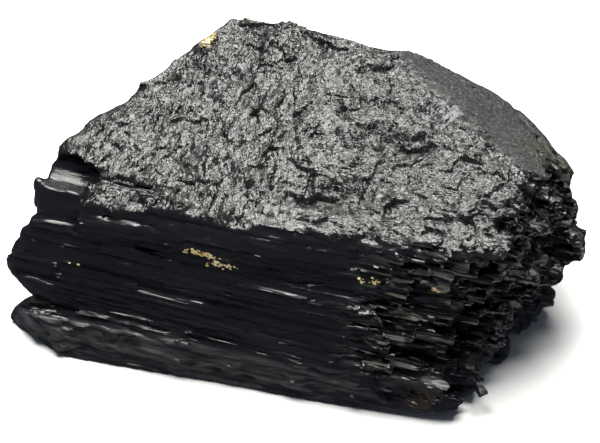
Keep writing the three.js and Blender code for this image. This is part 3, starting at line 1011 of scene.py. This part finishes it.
    # Blocks: on the stairs every short prism leans its own way, evenly in all directions
    is_calm_painted_shade = painted(tree, "calm_painted_shade")
    not_side = arithmetic(tree, "MAXIMUM", is_broken, is_worn)
    not_side = arithmetic(tree, "ADD", not_side, painted(tree, "skin"))
    not_side = arithmetic(tree, "ADD", not_side, arithmetic(tree, "MULTIPLY", is_foot, 0.5))
    not_side = arithmetic(tree, "ADD", not_side, arithmetic(tree, "MULTIPLY", is_calm_painted_shade, 0.75))
    side_share = arithmetic(tree, "MAXIMUM", arithmetic(tree, "SUBTRACT", 1.0, not_side), 0.0)
    drift = vector_math("SUBTRACT", noise_of(in_mm, 0.12, 1.0, 1), (0.5, 0.5, 0.5))
    drifting = vector_math("ADD", in_mm, vector_math("SCALE", drift, Scale=1.4))
    block = cell_colour(stretched(0.3, 0.8, 2.3, drifting, 1), 0.62)
    on_stairs = arithmetic(tree, "MULTIPLY", side_share, is_stairs)
    surface = node(tree, "ShaderNodeNewGeometry").outputs["Normal"]
    surface = leaning(surface, block, arithmetic(tree, "MULTIPLY", on_stairs, 2.2))

    # Threads: on the sides every thin crystal of the sheaf leans its own way, on average a little
    # downwards, and keeps that along X
    threads = [
        cell_colour(stretched(along, 1, 1, drifting, 1), per_mm)
        for along, per_mm in ((0.035, 1.9), (0.06, 0.9))
    ]
    for thread in threads:
        amount = arithmetic(tree, "MULTIPLY", side_share, 0.75)
        surface = leaning(surface, thread, amount, (0.5, 0.5, 0.68))

    # Painted highlights: on the short prisms some threads get a light grey colour, which stands in for thin
    # lines of light on the prism tops
    painted_highlight = remap(tree, channel(threads[0], 0), 0.45, 0.8, 0, 1)
    highlit_block = remap(tree, channel(block, 0), 0.46, 0.56, 0, 1)
    painted_highlight = arithmetic(tree, "MULTIPLY", painted_highlight, arithmetic(tree, "MULTIPLY", on_stairs, highlit_block))
    colour = mix_colour(tree, painted_highlight, colour, (0.15, 0.15, 0.13, 1))
    tree.links.new(colour, shader.inputs["Base Color"])

    # The flakes lean, then come wisps on the breaks, striations on the sides, fibres on the worn
    # part, and grit everywhere
    surface = leaning(surface, flake, arithmetic(tree, "MULTIPLY", flaked, 0.75))
    normal = vector_math("NORMALIZE", surface)
    normal = bumped(normal, crest, 0.0004, is_broken)
    lines = noise_of(stretched(0.02, 1, 1), 1.3, 4.0)
    normal = bumped(normal, lines, 0.00035, arithmetic(tree, "MULTIPLY", side_share, 0.8))
    fibres = noise_of(stretched(0.18, 1.2, 1.2, swayed, 1), 1.6, 4.0)
    normal = bumped(normal, fibres, 0.0012, is_worn)
    grit_share = mix_value(tree, arithmetic(tree, "MAXIMUM", is_broken, is_end), 0.08, 0.5)
    normal = bumped(normal, noise_of(in_mm, 4.5, 3.0), 0.00015, grit_share)
    tree.links.new(normal, shader.inputs["Normal"])

    # Gloss
    grain_gloss = remap(tree, channel(flake, 2), 0, 1, 0.14, 0.4)
    side_gloss = remap(tree, streak, 0.3, 0.7, 0.18, 0.32)
    rough = mix_value(tree, is_foot, side_gloss, 0.5)
    rough = mix_value(tree, is_broken, rough, grain_gloss)
    rough = mix_value(tree, is_worn, rough, 0.5)
    rough = mix_value(tree, is_skin, rough, 0.42)
    tree.links.new(rough, shader.inputs["Roughness"])
    return material


black_stone = stone_material()
print("the stone's material has", len(black_stone.node_tree.nodes), "nodes")

# %% Run the tree and thin the mesh

MOST_TRIANGLES = 190000

stone.data = run_tree(stone, fine_relief_tree(), {
    "Striation depth": 0.1 * MM,
    "Striation spacing": 0.9 * MM,
    "Grain depth": 0.3 * MM,
    "Grain size": 0.8 * MM,
    "Smallest piece": 20000,
    "Seed": 5.0,
    "Stone": black_stone,
})


def triangle_count(mesh):
    return sum(len(p.vertices) - 2 for p in mesh.polygons)


thin = stone.modifiers.new("thin", "DECIMATE")
thin.use_collapse_triangulate = True
thin.ratio = min(1.0, MOST_TRIANGLES / triangle_count(stone.data))
stone.data = bpy.data.meshes.new_from_object(stone.evaluated_get(bpy.context.evaluated_depsgraph_get()))
stone.modifiers.clear()
stone.data.polygons.foreach_set("use_smooth", np.ones(len(stone.data.polygons), bool))
stone.data.set_sharp_from_angle(angle=math.radians(34))
print("the stone has", triangle_count(stone.data), "triangles")

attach(stone, "root")
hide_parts(NODE)

# %% [markdown]
# ## Flecks of feldspar
#
# Schorl grows in pale rock, and crumbs of its cream feldspar stay in the seams. They follow the
# surface, so Geometry Nodes scatter them: points on the stone where a painted attribute says that
# there are crumbs, a small rough pebble on each, laid along the columns and sized at random. Points
# in shares of the box say where the seams are, and the crumbs find the surface by themselves.

# %% Paint where the flecks are

# Each seam: its two ends in shares of the box, and how far the crumbs spread, in millimetres.
SEAMS = [
    {"start": (0.36, 0.16, 0.485), "end": (0.415, 0.16, 0.465), "spread": 0.65},
    {"start": (0.425, 0.18, 0.445), "end": (0.455, 0.185, 0.43), "spread": 0.35},
    {"start": (0.675, 0.195, 0.487), "end": (0.70, 0.205, 0.49), "spread": 0.45},
    {"start": (0.79, 0.23, 0.485), "end": (0.80, 0.23, 0.485), "spread": 0.6},
    {"start": (0.135, 0.14, 0.32), "end": (0.17, 0.15, 0.35), "spread": 0.3},
    {"start": (0.25, 0.78, 0.935), "end": (0.255, 0.78, 0.935), "spread": 1.0},
    {"start": (0.82, 0.185, 0.425), "end": (0.835, 0.215, 0.375), "spread": 0.35},
]
DEPTH_COUNTS = 0.3


def from_seam(points, start, end):
    """How far each point is from a seam, where depth behind the front counts less."""
    start, end = place(*start), place(*end)
    way = end - start
    along = np.clip((points - start) @ way / (way @ way), 0, 1)
    return np.linalg.norm((points - start - along[:, None] * way) * (1, DEPTH_COUNTS, 1), axis=1)


bed = stone.data.copy()
bed_points = vertices_of(bed) / MM
fleck_share = np.zeros(len(bed_points), np.float32)
for seam in SEAMS:
    share = np.exp(-((from_seam(bed_points, seam["start"], seam["end"]) / seam["spread"]) ** 2))
    fleck_share = np.maximum(fleck_share, share)
fleck_share *= smooth_step(-0.9, 0.1, noise(bed_points[:, 0], bed_points[:, 2], 1.1, 170))
paint(bed, "flecks", np.where(fleck_share > 0.3, fleck_share, 0))
print("painted", int((fleck_share > 0.3).sum()), "points for flecks")

# %% Scatter the flecks

FLECK_INPUTS = [
    ("Flecks per square metre", "NodeSocketFloat"),
    ("Smallest", "NodeSocketFloat"),
    ("Largest", "NodeSocketFloat"),
    ("Seed", "NodeSocketInt"),
    ("Feldspar", "NodeSocketMaterial"),
]


def fleck_tree():
    tree, given, result = new_tree("flecks", FLECK_INPUTS)
    density = arithmetic(tree, "MULTIPLY", masked(tree, "flecks"), given.outputs["Flecks per square metre"])
    scattered = node(
        tree, "GeometryNodeDistributePointsOnFaces", {"distribute_method": "RANDOM"},
        Mesh=given.outputs["Geometry"], Density=density, Seed=given.outputs["Seed"],
    )
    pebble = node(tree, "GeometryNodeMeshIcoSphere", None, Radius=1.0, Subdivisions=1)
    lumps = node(tree, "ShaderNodeTexNoise", None, Scale=1.4, Detail=1.0)
    lump = arithmetic(tree, "MULTIPLY", arithmetic(tree, "SUBTRACT", lumps.outputs[0], 0.5), 1.6)
    push = node(
        tree, "ShaderNodeVectorMath", {"operation": "SCALE"},
        i0=node(tree, "GeometryNodeInputNormal").outputs[0], Scale=lump,
    )
    pebble = node(tree, "GeometryNodeSetPosition", None, Geometry=pebble.outputs[0], Offset=push.outputs[0])
    size = node(
        tree, "FunctionNodeRandomValue", {"data_type": "FLOAT"},
        i2=given.outputs["Smallest"], i3=given.outputs["Largest"], Seed=given.outputs["Seed"],
    )
    flat = node(tree, "ShaderNodeCombineXYZ", None, X=1.9, Y=0.8, Z=0.5)
    scale = node(
        tree, "ShaderNodeVectorMath", {"operation": "SCALE"}, i0=flat.outputs[0], Scale=size.outputs[1]
    )
    lengthways = node(
        tree, "FunctionNodeAlignRotationToVector", {"axis": "X", "pivot_axis": "Z"},
        Rotation=scattered.outputs["Rotation"], Vector=(1, 0, -0.15),
    )
    pebbles = node(
        tree, "GeometryNodeInstanceOnPoints", None, Points=scattered.outputs["Points"],
        Instance=pebble.outputs[0], Rotation=lengthways.outputs[0], Scale=scale.outputs[0],
    )
    whole = node(tree, "GeometryNodeRealizeInstances", None, Geometry=pebbles.outputs[0])
    finished = node(
        tree, "GeometryNodeSetMaterial", None, Geometry=whole.outputs[0], Material=given.outputs["Feldspar"]
    )
    tree.links.new(finished.outputs[0], result.inputs[0])
    return tree


def feldspar_material():
    material = bpy.data.materials.new("cream_feldspar")
    material.use_nodes = True
    tree = material.node_tree
    shader = tree.nodes["Principled BSDF"]
    shader.inputs["Roughness"].default_value = 0.5
    in_object = node(tree, "ShaderNodeTexCoord").outputs["Object"]
    tone = node(tree, "ShaderNodeTexNoise", None, Vector=in_object, Scale=0.5 / MM, Detail=2.0).outputs[0]
    tone = remap(tree, tone, 0.35, 0.65, 0, 1)
    colour = mix_colour(tree, tone, (0.42, 0.28, 0.1, 1), (0.7, 0.6, 0.38, 1))
    tree.links.new(colour, shader.inputs["Base Color"])
    return material


flecks = bpy.data.objects.new("feldspar_flecks", bed)
bpy.context.scene.collection.objects.link(flecks)
flecks.data = run_tree(flecks, fleck_tree(), {
    "Flecks per square metre": 1.1e7,
    "Smallest": 0.07 * MM,
    "Largest": 0.32 * MM,
    "Seed": 3,
    "Feldspar": feldspar_material(),
})
print("the flecks have", triangle_count(flecks.data), "triangles")
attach(flecks, "root")
